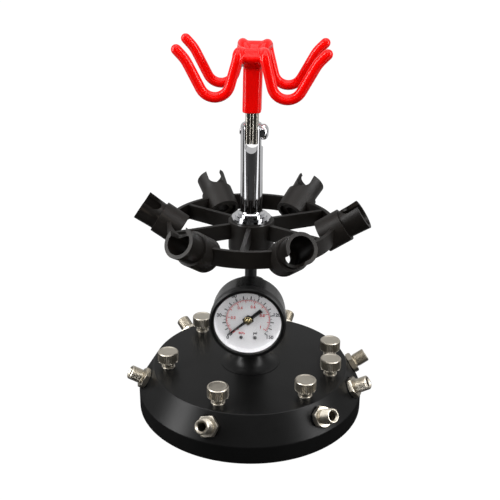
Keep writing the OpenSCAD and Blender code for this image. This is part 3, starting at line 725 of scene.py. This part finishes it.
class HOLDER_OT_fittings(bpy.types.Operator):
    """Models a hose fitting with its hexagon and pipe thread, and copies it round the skirt"""

    bl_idname = "holder.fittings"
    bl_label = "Hose fittings"
    bl_options = {"REGISTER", "UNDO"}

    def execute(self, context):
        pitch = settings("holder_fittings").pitch / MM
        root = THREAD_R - settings("holder_fittings").depth / MM
        seat, hexagon_top, mouth = 0.2, 3.7, 13.2
        # One turn of the thread's outline, screwed upwards
        thread = trace(
            "thread",
            [(root, 0), (root + 0.06, 0.06 * pitch), (THREAD_R, 0.4 * pitch), (THREAD_R, 0.6 * pitch),
             (root + 0.06, 0.94 * pitch), (root, pitch)],
        )
        bpy.ops.object.mode_set(mode="OBJECT")
        turns = math.ceil((mouth - 1.5) / pitch)
        apply_modifier(
            thread, "SCREW", angle=math.tau, screw_offset=pitch * MM, iterations=turns, steps=40,
            render_steps=40, axis="Z", use_merge_vertices=True, merge_threshold=0.002 * MM,
        )
        bpy.ops.object.mode_set(mode="EDIT")
        bpy.ops.mesh.select_all(action="SELECT")
        bpy.ops.mesh.remove_doubles(threshold=0.002 * MM)
        bpy.ops.mesh.select_all(action="DESELECT")
        bpy.ops.mesh.select_non_manifold()
        bpy.ops.mesh.edge_face_add()
        bpy.ops.mesh.select_all(action="SELECT")
        bpy.ops.mesh.fill_holes(sides=0)
        tidy_faces()
        put(thread, Matrix.Translation((0, 0, 1.0 * MM)))
        # The barrel's envelope has the lead-in chamfer and the undercut behind the thread
        envelope = turn(
            "envelope",
            [(0, 2), (4.2, 2), (4.2, hexagon_top + 0.9), (4.95, hexagon_top + 1.6), (4.95, mouth - 0.8),
             (4.15, mouth), (0, mouth)],
            sides=64,
        )
        cut(thread, envelope, "INTERSECT")
        # The hexagon's corners are turned back on both faces
        select_only()
        bpy.ops.mesh.primitive_cylinder_add(vertices=6, radius=13 / math.sqrt(3) * MM, depth=3.5 * MM)
        hexagon = bpy.context.object
        put(hexagon, Matrix.Translation((0, 0, (seat + hexagon_top) / 2 * MM)))
        corners = turn(
            "corners",
            [(0, seat), (6.55, seat), (7.6, seat + 0.6), (7.6, hexagon_top - 0.6), (6.5, hexagon_top),
                (0, hexagon_top)],
            sides=96,
        )
        cut(hexagon, corners, "INTERSECT")
        shank = turn(
            "shank", [(0, -8), (4.4, -8), (4.86, -7.4), (4.86, 1), (4.3, 1), (4.3, hexagon_top + 1),
                (0, hexagon_top + 1)],
            sides=64,
        )
        cut(hexagon, shank, "UNION")
        cut(hexagon, thread, "UNION")
        bore = turn(
            "bore", [(0, -9), (2.8, -9), (2.8, mouth - 1.1), (3.75, mouth - 0.1), (3.75, mouth + 1),
                (0, mouth + 1)],
            sides=48,
        )
        cut(hexagon, bore)
        smooth(hexagon, 25)
        remember_axis(hexagon)
        for node, bearing, twist in zip(FITTING_NODES, BEARINGS, (8, 25, 3, 41, 14, 30, 52)):
            piece = copy_of(hexagon, node.replace("fitting", "hose_fitting"))
            put(piece, on_skirt(bearing) @ at_bearing(twist))
            settle(piece, satin_nickel(), "stand", "nickel", node)
        bpy.data.objects.remove(hexagon)
        return {"FINISHED"}


def dial_angle(share):
    """The angle on the dial, from its right, of a share of the full scale."""
    return DIAL_ZERO - share * settings("holder_gauge").sweep


def mark(angle, inner, outer, width):
    """A printed mark from one radius to another, in millimetres."""
    select_only()
    bpy.ops.mesh.primitive_plane_add(size=MM)
    made = bpy.context.object
    put(made, Matrix.Diagonal((outer - inner, width, 1, 1)))
    put(made, Matrix.Rotation(angle, 4, "Z") @ Matrix.Translation(((inner + outer) / 2 * MM, 0, 0)))
    return made


def arc(name, radius, width, share=1.0):
    """A printed arc from the first mark over a share of the sweep."""
    piece = trace(name, [(radius - width / 2, 0), (radius + width / 2, 0)])
    bpy.ops.mesh.select_all(action="SELECT")
    bpy.ops.mesh.spin(steps=120, angle=settings("holder_gauge").sweep * share, center=(0, 0, 0),
        axis=(0, 0, 1))
    bpy.ops.object.mode_set(mode="OBJECT")
    middle = sum((v.co for v in piece.data.vertices), Vector())
    put(piece, Matrix.Rotation(dial_angle(share / 2) - math.atan2(middle.y, middle.x), 4, "Z"))
    return piece


def dial_text(body, radius, angle, size):
    """Numbers printed upright on the dial, centred at a radius and angle."""
    select_only()
    bpy.ops.object.text_add(location=(0, 0, 0))
    text = bpy.context.object
    text.data.body = body
    text.data.size = size * MM
    text.data.align_x = "CENTER"
    text.data.align_y = "CENTER"
    text.data.resolution_u = 6
    text.data.offset = 0.035 * size * MM
    bpy.ops.object.convert(target="MESH")
    text = bpy.context.object
    put(text, Matrix.Translation((radius * math.cos(angle) * MM, radius * math.sin(angle) * MM, 0)))
    return text


def print_on_dial(pieces, name, ink, slot):
    """Joins printed pieces, gives the ink a thickness and lays it on the dial."""
    select_only(*pieces)
    bpy.ops.object.join()
    piece = bpy.context.object
    piece.name = name
    bpy.ops.object.mode_set(mode="EDIT")
    bpy.ops.mesh.select_all(action="SELECT")
    bpy.ops.mesh.remove_doubles(threshold=0.001 * MM)
    bpy.ops.mesh.normals_make_consistent(inside=False)
    bpy.ops.mesh.extrude_region_move(TRANSFORM_OT_translate={"value": (0, 0, INK_HEIGHT * MM)})
    bpy.ops.mesh.select_all(action="SELECT")
    bpy.ops.mesh.normals_make_consistent(inside=False)
    bpy.ops.object.mode_set(mode="OBJECT")
    put(piece, on_gauge(DIAL_FRONT + 0.01))
    settle(piece, ink, "stand", slot)


class HOLDER_OT_gauge_face(bpy.types.Operator):
    """Models the dial with its two printed scales"""

    bl_idname = "holder.gauge_face"
    bl_label = "Gauge face"
    bl_options = {"REGISTER", "UNDO"}

    def execute(self, context):
        face = turn(
            "dial_disc",
            [(1.4, 17.4), (22.3, 17.4), (22.5, 17.5), (22.5, 17.9), (22.4, DIAL_FRONT), (1.5, DIAL_FRONT),
             (1.4, 17.9), (1.4, 17.4)],
            sides=128,
        )
        select_only()
        for x, y in DIAL_SCREWS:
            bpy.ops.mesh.primitive_cylinder_add(
                vertices=24, radius=0.7 * MM, depth=4 * MM, location=(x * MM, y * MM, DIAL_FRONT * MM)
            )
            cut(face, bpy.context.object)
        smooth(face)
        put(face, on_gauge())
        settle(face, dial_paint(), "stand", "dial_white", "gauge_dial")

        rim = turn(
            "dial_rim",
            [(21.4, DIAL_FRONT + 0.03), (22.4, DIAL_FRONT + 0.03), (22.4, 21.8), (22.05, 21.8),
                (21.4, DIAL_FRONT + 0.03)],
            sides=128,
        )
        smooth(rim)
        put(rim, on_gauge())
        settle(rim, dial_paint(), "stand", "dial_white")

        printed = [arc("outer_scale", 14.6, 0.16)]
        for i in range(31):
            tenth = i % 2 == 0
            outer_end, width = (16.9, 0.75) if tenth else (15.7, 0.35)
            printed.append(mark(dial_angle(i / 30), 14.55, outer_end, width))
        printed += [
            dial_text(str(n), 18.9, dial_angle(n / FULL_SCALE), 3.3) for n in (0, 30, 60, 90, 120, 150)
        ]
        printed.append(dial_text("psi", 10.7, math.radians(-64), 2.4))
        scale_ink = dial_ink("ink_dial_black", tuple(settings("holder_gauge").scale))
        print_on_dial(printed, "dial_outer_scale", scale_ink, "dial_white")

        # One megapascal is 145 on the outer scale
        printed = [arc("inner_scale", 14.0, 0.34, INNER_SHARE)]
        for i in range(51):
            whole, half = i % 10 == 0, i % 5 == 0
            inner_end = 11.8 if whole else 12.3 if half else 13.0
            printed.append(mark(dial_angle(INNER_SHARE * i / 50), inner_end, 14.0, 0.5 if half else 0.24))
        for n in ("0", "0.2", "0.4", "0.6", "0.8", "1"):
            printed.append(dial_text(n, 9.7, dial_angle(INNER_SHARE * float(n)), 2.7))
        printed.append(dial_text("MPa", 10.8, math.radians(-112), 2.4))
        inner_ink = dial_ink("ink_dial_red", tuple(settings("holder_gauge").inner_scale))
        print_on_dial(printed, "dial_inner_scale", inner_ink, "dial_white")
        return {"FINISHED"}


class HOLDER_OT_pointer(bpy.types.Operator):
    """Models the gauge's pointer and its brass boss"""

    bl_idname = "holder.pointer"
    bl_label = "Pointer"
    bl_options = {"REGISTER", "UNDO"}

    def execute(self, context):
        # The blade is drawn flat, filled and raised: a broad tail, a narrow waist and a fine tip
        half = [(-11.3, 0), (-11.3, 1.4), (-3.2, 1.1), (-2.4, 2.9), (2.4, 2.9), (3.2, 0.95), (17.3, 0.4),
            (17.6, 0)]
        line = half + [(x, -y) for x, y in reversed(half[1:-1])] + [half[0]]
        blade = trace("blade", line)
        bpy.ops.mesh.select_all(action="SELECT")
        bpy.ops.mesh.remove_doubles(threshold=0.001 * MM)
        bpy.ops.mesh.edge_face_add()
        bpy.ops.mesh.extrude_region_move(TRANSFORM_OT_translate={"value": (0, 0.45 * MM, 0)})
        tidy_faces()
        apply_modifier(blade, "BEVEL", width=0.1 * MM, segments=2, limit_method="ANGLE",
            angle_limit=math.radians(40))
        put(blade, Matrix.Rotation(math.pi / 2, 4, "X"))
        put(blade, Matrix.Rotation(POINTER_REST, 4, "Z"))
        low = min(v.co.z for v in blade.data.vertices)
        put(blade, on_gauge() @ Matrix.Translation((0, 0, POINTER_BACK * MM - low)))
        smooth(blade)
        settle(blade, pointer_black(), "pointer", "pointer_black", "gauge_pointer")
        base = POINTER_BACK + 0.47
        boss = turn(
            "pointer_boss",
            [(0.55, base), (2.5, base), (2.6, base + 0.1), (2.6, base + 0.5), (2.45, base + 0.65),
             (1.5, base + 0.75), (1.3, base + 0.95), (1.25, base + 1.2), (1.1, base + 1.35),
             (0.62, base + 1.35), (0.55, base + 1.28), (0.55, base)],
            sides=64,
        )
        smooth(boss)
        put(boss, on_gauge())
        settle(boss, brass(), "pointer", "brass")
        return {"FINISHED"}


class HOLDER_OT_carousel(bpy.types.Operator):
    """Rounds the moulded edges of the carousel, its sleeves and its cups"""

    bl_idname = "holder.carousel"
    bl_label = "Carousel and cups"
    bl_options = {"REGISTER", "UNDO"}

    def execute(self, context):
        edge = settings("holder_plastic").edge
        frame_plastic = moulded_black()
        softened("carousel_frame", "carousel_ring_and_spokes", edge, "carousel", "carousel_plastic",
            frame_plastic)
        softened("cup_sleeves", "carousel_sleeves", edge * 0.6, "carousel", "carousel_plastic",
            frame_plastic)
        cup_plastic = moulded_black("nylon_moulded_black_fine", 0.43)
        for i in range(1, 7):
            softened(f"cup_{i}", f"cup_slotted_{i}", edge * 0.8, f"cup_{i}", "cup_plastic", cup_plastic)
        return {"FINISHED"}


class HOLDER_OT_clamp_screw(bpy.types.Operator):
    """Models the clamp screw with its domed head"""

    bl_idname = "holder.clamp_screw"
    bl_label = "Clamp screw"
    bl_options = {"REGISTER", "UNDO"}

    def execute(self, context):
        head = 6.0
        screw = turn(
            "clamp_screw_domed",
            [(0, -7.65), (1.7, -7.65), (2.0, -7.3), (2.0, head), (4.8, head), (5.0, head + 0.2),
             (5.0, head + 2.1), (4.85, head + 2.5), (4.3, head + 3.3), (3.5, head + 3.95),
             (2.6, head + 4.35), (1.7, head + 4.5), (1.6, head + 4.45), (1.5, head + 2.9),
             (0, head + 2.7)],
            sides=48,
        )
        smooth(screw, 40)
        remember_axis(screw)
        put(screw, Matrix.Translation((0, 0, CLAMP_HEIGHT * MM)) @ Matrix.Rotation(math.pi / 2, 4, "Y"))
        settle(screw, chrome(), "stand", "chrome_bright", "clamp_screw")
        return {"FINISHED"}


# ---------- the hook ----------


def curve_between(a, b, c, d, count):
    """Points of a cubic curve from a to d."""
    points = []
    for i in range(count + 1):
        t = i / count
        points.append((1 - t) ** 3 * a + 3 * t * (1 - t) ** 2 * b + 3 * t * t * (1 - t) * c + t**3 * d)
    return points


def bearing_2d(degrees):
    return Vector((math.cos(math.radians(degrees)), math.sin(math.radians(degrees))))


def rod_line(start):
    """The middle line of the rod in the +X, +Y quarter, in millimetres, from a height to the tip."""
    inner, outer, tip = 75, 62, 46
    arm_y, valley_x, bend = 22.0, 21.5, 9.4
    centre = Vector((valley_x, CREST - 26 + bend))
    inner_end = centre + bend * bearing_2d(270 - inner)
    up = Vector((-math.cos(math.radians(inner)), math.sin(math.radians(inner))))
    shoulder = inner_end + (CREST - 5 - inner_end.y) / up.y * up
    outer_end = centre + bend * bearing_2d(270 + outer)
    corner = outer_end + 19 * bearing_2d(outer)
    bend_start = outer_end + 16 * bearing_2d(outer)
    tip_start = corner + 3 * bearing_2d(tip)
    arm_tip = corner + 7.5 * bearing_2d(tip)

    def flat(p):
        return Vector((p.x, arm_y, p.y))

    stem_end = Vector((ROD_SIDE, ROD_BACK, CREST - 13))
    fan = Vector((shoulder.x - 1.2, arm_y - 4.5, CREST))
    rise = curve_between(stem_end, stem_end + Vector((0, 0, 7)), fan + Vector((-1.4, -7, 0.2)), fan, 14)
    turn_ = curve_between(
        fan, fan + Vector((0.9, 4.2, -0.2)), flat(shoulder + Vector((-0.9, 3.4))), flat(shoulder), 8
    )
    valley = [flat(centre + bend * bearing_2d(270 - inner + (inner + outer) * i / 18)) for i in range(19)]
    steps = (0, 0.25, 0.5, 0.75, 1)
    tip_bend = [(1 - t) ** 2 * bend_start + 2 * t * (1 - t) * corner + t * t * tip_start for t in steps]
    foot = Vector((stem_end.x, stem_end.y, start))
    return [foot, *rise, *turn_[1:], *valley, *[flat(p) for p in tip_bend], flat(arm_tip)]


def set_over(p, side_x, side_y):
    """A point of the +X, +Y quarter in any quarter, with the small lean of the bent rods."""
    x, rise = side_x * p.x, max(0.0, p.z - STEM_FOOT)
    if rise <= 0:
        return Vector((x, side_y * p.y, p.z))
    lean, upright = math.sin(ARM_SET), math.cos(ARM_SET)
    return Vector((x * upright + rise * lean, side_y * p.y, STEM_FOOT + rise * upright - x * lean))


QUARTERS = [(-1, -1), (-1, 1), (1, -1), (1, 1)]


def tube(name, line, radius, around=10):
    """A round tube along a line in millimetres, closed at both ends with a rounded tip."""
    drawn = bpy.data.curves.new(name, "CURVE")
    drawn.dimensions = "3D"
    drawn.bevel_depth = radius * MM
    drawn.bevel_resolution = around
    drawn.use_fill_caps = True
    last = (line[-1] - line[-2]).normalized()
    ends = [(line[-1] + radius * math.sin(a) * last, math.cos(a)) for a in (0.35, 0.7, 1.0, 1.25, 1.45)]
    stations = [(p, 1.0) for p in line] + ends
    spline = drawn.splines.new("POLY")
    spline.points.add(len(stations) - 1)
    for point, (p, width) in zip(spline.points, stations):
        point.co = (*(p * MM), 1)
        point.radius = width
    piece = bpy.data.objects.new(name, drawn)
    bpy.context.scene.collection.objects.link(piece)
    select_only(piece)
    bpy.ops.object.convert(target="MESH")
    return bpy.context.object


def join(pieces, name):
    select_only(*pieces)
    bpy.ops.object.join()
    made = bpy.context.object
    made.name = name
    return made


class HOLDER_OT_hook_rods(bpy.types.Operator):
    """Models the four bent rods of the hook"""

    bl_idname = "holder.hook_rods"
    bl_label = "Hook rods"
    bl_options = {"REGISTER", "UNDO"}

    def execute(self, context):
        rods = [
            tube("rod", [set_over(p, *quarter) for p in rod_line(WIRE_FOOT)], WIRE_R, 8)
            for quarter in QUARTERS
        ]
        rods = join(rods, "hook_bent_rods")
        bpy.ops.object.mode_set(mode="EDIT")
        tidy_faces(0.0005)
        smooth(rods, 40)
        settle(rods, wire_nickel(), "hook", "wire_steel", "hook_rods")
        return {"FINISHED"}


class HOLDER_OT_hook_coating(bpy.types.Operator):
    """Models the dipped coating as one skin over the arms, the stem and the web between them"""

    bl_idname = "holder.hook_coating"
    bl_label = "Hook coating"
    bl_options = {"REGISTER", "UNDO"}

    def execute(self, context):
        coat_r = WIRE_R + settings("holder_hook").coat / MM
        cell = settings("holder_hook").skin
        parts = [
            tube("arm", [set_over(p, *quarter) for p in rod_line(STEM_FOOT + 1)], coat_r, 8)
            for quarter in QUARTERS
        ]
        # The stem is an oblong sleeve round all four rods
        select_only()
        bpy.ops.mesh.primitive_cylinder_add(vertices=64, radius=(coat_r + 0.6) * MM, depth=MM)
        stem = bpy.context.object
        bpy.ops.object.mode_set(mode="EDIT")
        bpy.ops.mesh.select_all(action="SELECT")
        bpy.ops.object.mode_set(mode="OBJECT")
        foot, top = STEM_FOOT, CREST - 10.5
        for v in stem.data.vertices:
            side = Vector((math.copysign(ROD_SIDE, v.co.x), math.copysign(ROD_BACK, v.co.y)))
            level = foot if v.co.z < 0 else top
            spread = set_over(Vector((side.x, abs(side.y), level)), 1, math.copysign(1, side.y))
            v.co = Vector((v.co.x, v.co.y, 0)) + spread * MM
        parts.append(stem)
        # The web fills the fork between the two rods of each pair where they part, along the rods
        # and along the straight line below them
        line = rod_line(STEM_FOOT)
        rows = [(p, p.x * 0.95) for p in line[1:15]]
        foot_row, crest_row = Vector((3.4, 5.5, CREST - 8.5)), Vector((7.4, 20.5, CREST - 2.5))
        rows += [(foot_row.lerp(crest_row, i / 14), foot_row.lerp(crest_row, i / 14).x) for i in range(15)]
        for side_y in (-1, 1):
            for row, half in rows:
                select_only()
                bpy.ops.mesh.primitive_uv_sphere_add(segments=20, ring_count=12, radius=(coat_r - 0.5) * MM)
                bead = bpy.context.object
                centre = set_over(Vector((0, row.y, row.z - 0.5)), 1, side_y)
                for v in bead.data.vertices:
                    v.co.x += math.copysign(half * MM, v.co.x) if abs(v.co.x) > 1e-6 else 0
                    v.co.x += centre.x * MM
                    v.co.y += centre.y * MM
                    v.co.z += centre.z * MM
                parts.append(bead)
        skin = join(parts, "hook_dipped_coating")
        apply_modifier(skin, "REMESH", mode="VOXEL", voxel_size=cell, use_smooth_shade=True)
        apply_modifier(skin, "SMOOTH", factor=0.5, iterations=16)
        select_only(skin)
        bpy.ops.object.shade_smooth()
        settle(skin, red_vinyl(), "hook", "red_vinyl", "hook_coating")
        return {"FINISHED"}


# ---------- stage ----------


class HOLDER_OT_stage(bpy.types.Operator):
    """Adds the floor, the studio light and the camera"""

    bl_idname = "holder.stage"
    bl_label = "Stage"
    bl_options = {"REGISTER", "UNDO"}

    def execute(self, context):
        scene = context.scene
        stage = settings("holder_stage")
        select_only()
        bpy.ops.mesh.primitive_plane_add(size=6, location=(0, 0, -0.0002))
        floor = context.object
        floor.name = "floor"
        # The floor is white to the camera and dark to everything that would mirror it
        paper = finish("paper_seamless_white", tuple(stage.floor), rough=0.9, spread=0.02, grain=2,
            height=2)
        shader = next(n for n in paper.node_tree.nodes if n.type == "BSDF_PRINCIPLED")
        shader.inputs["Emission Color"].default_value = (1, 1, 1, 1)
        direct = add_node(paper, "ShaderNodeLightPath").outputs["Is Camera Ray"]
        paper.node_tree.links.new(direct, shader.inputs["Emission Strength"])
        wear(floor, paper)

        # Pale cards lie on the floor beside and behind the object, where the mast and knobs mirror them
        for name, x, y, wide, deep, strength in CARDS:
            select_only()
            bpy.ops.mesh.primitive_plane_add(size=1, location=(x, y, 0.0005))
            card = context.object
            card.name = name
            card.scale = (wide, deep, 1)
            bpy.ops.object.transform_apply(scale=True)
            board = finish(f"{name}_foam_board", (0, 0, 0), rough=0.9, spread=0.02, grain=2, height=2)
            glow = next(n for n in board.node_tree.nodes if n.type == "BSDF_PRINCIPLED")
            glow.inputs["Emission Color"].default_value = (1, 1, 1, 1)
            glow.inputs["Emission Strength"].default_value = strength
            wear(card, board)
            card.visible_camera = card.visible_diffuse = card.visible_shadow = False

        # Two upright softboxes beside the object draw the bright streaks on its round walls
        for name, side, share in (("softbox_left", -1, 1.0), ("softbox_right", 1, 0.8)):
            bpy.ops.object.light_add(type="AREA", location=(side * 0.75, -0.28, 0.45))
            lamp = context.object
            lamp.name = name
            lamp.data.shape = "RECTANGLE"
            lamp.data.size, lamp.data.size_y = 0.3, 1.0
            lamp.data.energy = stage.light * share
            toward = LAMP_AIM - lamp.location
            lamp.rotation_euler = toward.to_track_quat("-Z", "Y").to_euler()
        # A fill light beside the camera brightens the dial and the red, and is never mirrored
        bpy.ops.object.light_add(type="AREA", location=(0.1, -1.1, 0.55))
        fill = context.object
        fill.name = "fill_front"
        fill.data.size = 0.6
        fill.data.energy = stage.fill
        fill.visible_glossy = False
        fill.rotation_euler = (LAMP_AIM - fill.location).to_track_quat("-Z", "Y").to_euler()
        # A broad overhead sky lights the floor evenly
        bpy.ops.object.light_add(type="SUN", location=(0, 0, 1.5), rotation=(math.radians(8), 0, 0))
        overhead = context.object
        overhead.name = "overhead"
        overhead.data.energy = stage.overhead
        overhead.data.angle = math.radians(75)

        # The walls behind and beside the object are grey and those in front of it are dark
        world = bpy.data.worlds.new("studio")
        scene.world = world
        world.use_nodes = True
        back = next(n for n in world.node_tree.nodes if n.type == "BACKGROUND")
        facing = add_node(world, "ShaderNodeSeparateXYZ",
            {0: add_node(world, "ShaderNodeTexCoord").outputs["Generated"]})
        level = add_node(
            world, "ShaderNodeMapRange",
            {"Value": facing.outputs["Y"], "From Min": -0.6, "From Max": 0.7, "To Min": 0.03,
                "To Max": stage.walls},
            interpolation_type="SMOOTHSTEP",
        )
        direct = add_node(world, "ShaderNodeLightPath").outputs["Is Camera Ray"]
        seen = add_node(world, "ShaderNodeMix", {0: direct, 2: level.outputs["Result"], 3: 1.0},
            data_type="FLOAT")
        world.node_tree.links.new(seen.outputs[0], back.inputs["Strength"])
        back.inputs["Color"].default_value = (1, 1, 1, 1)

        seen_from = Vector((0.02664, -0.50838, 0.32656))
        bpy.ops.object.camera_add(location=seen_from)
        camera = context.object
        camera.name = "camera"
        camera.data.lens = 59.72
        camera.data.sensor_width = 36
        camera.data.shift_x = -0.0020
        camera.data.clip_start = 0.01
        turned = Matrix.Rotation(math.radians(3), 4, "Z") @ Matrix.Rotation(math.radians(90 - 22.6), 4, "X")
        turned = turned @ Matrix.Rotation(math.radians(0.42), 4, "Z")
        camera.matrix_world = Matrix.Translation(seen_from) @ turned
        scene.camera = camera
        scene.view_settings.view_transform = "Standard"
        return {"FINISHED"}


# ---------- panel ----------


OPERATORS = [
    HOLDER_OT_stage, HOLDER_OT_finishes, HOLDER_OT_base, HOLDER_OT_knobs, HOLDER_OT_bonnets,
    HOLDER_OT_fittings, HOLDER_OT_gauge_face, HOLDER_OT_pointer, HOLDER_OT_carousel,
    HOLDER_OT_clamp_screw, HOLDER_OT_hook_rods, HOLDER_OT_hook_coating,
]


class HOLDER_PT_panel(bpy.types.Panel):
    """Lists the holder's settings and pieces"""

    bl_idname = "HOLDER_PT_panel"
    bl_label = "Airbrush Holder"
    bl_space_type = "VIEW_3D"
    bl_region_type = "UI"
    bl_category = "Airbrush Holder"

    def draw(self, context):
        for name, group in SETTINGS.items():
            box = self.layout.box()
            box.label(text=group.__name__.replace("Settings", ""))
            for key in group.__annotations__:
                box.prop(getattr(context.scene, name), key)
        for operator in OPERATORS:
            self.layout.operator(operator.bl_idname)


def register():
    for group in SETTINGS.values():
        bpy.utils.register_class(group)
    for operator in OPERATORS:
        bpy.utils.register_class(operator)
    bpy.utils.register_class(HOLDER_PT_panel)
    for name, group in SETTINGS.items():
        setattr(bpy.types.Scene, name, bpy.props.PointerProperty(type=group))


def unregister():
    for name in SETTINGS:
        delattr(bpy.types.Scene, name)
    bpy.utils.unregister_class(HOLDER_PT_panel)
    for operator in reversed(OPERATORS):
        bpy.utils.unregister_class(operator)
    for group in reversed(list(SETTINGS.values())):
        bpy.utils.unregister_class(group)


def main():
    register()
    for operator in OPERATORS:
        family, name = operator.bl_idname.split(".")
        getattr(getattr(bpy.ops, family), name)()


if __name__ == "__main__":
    main()
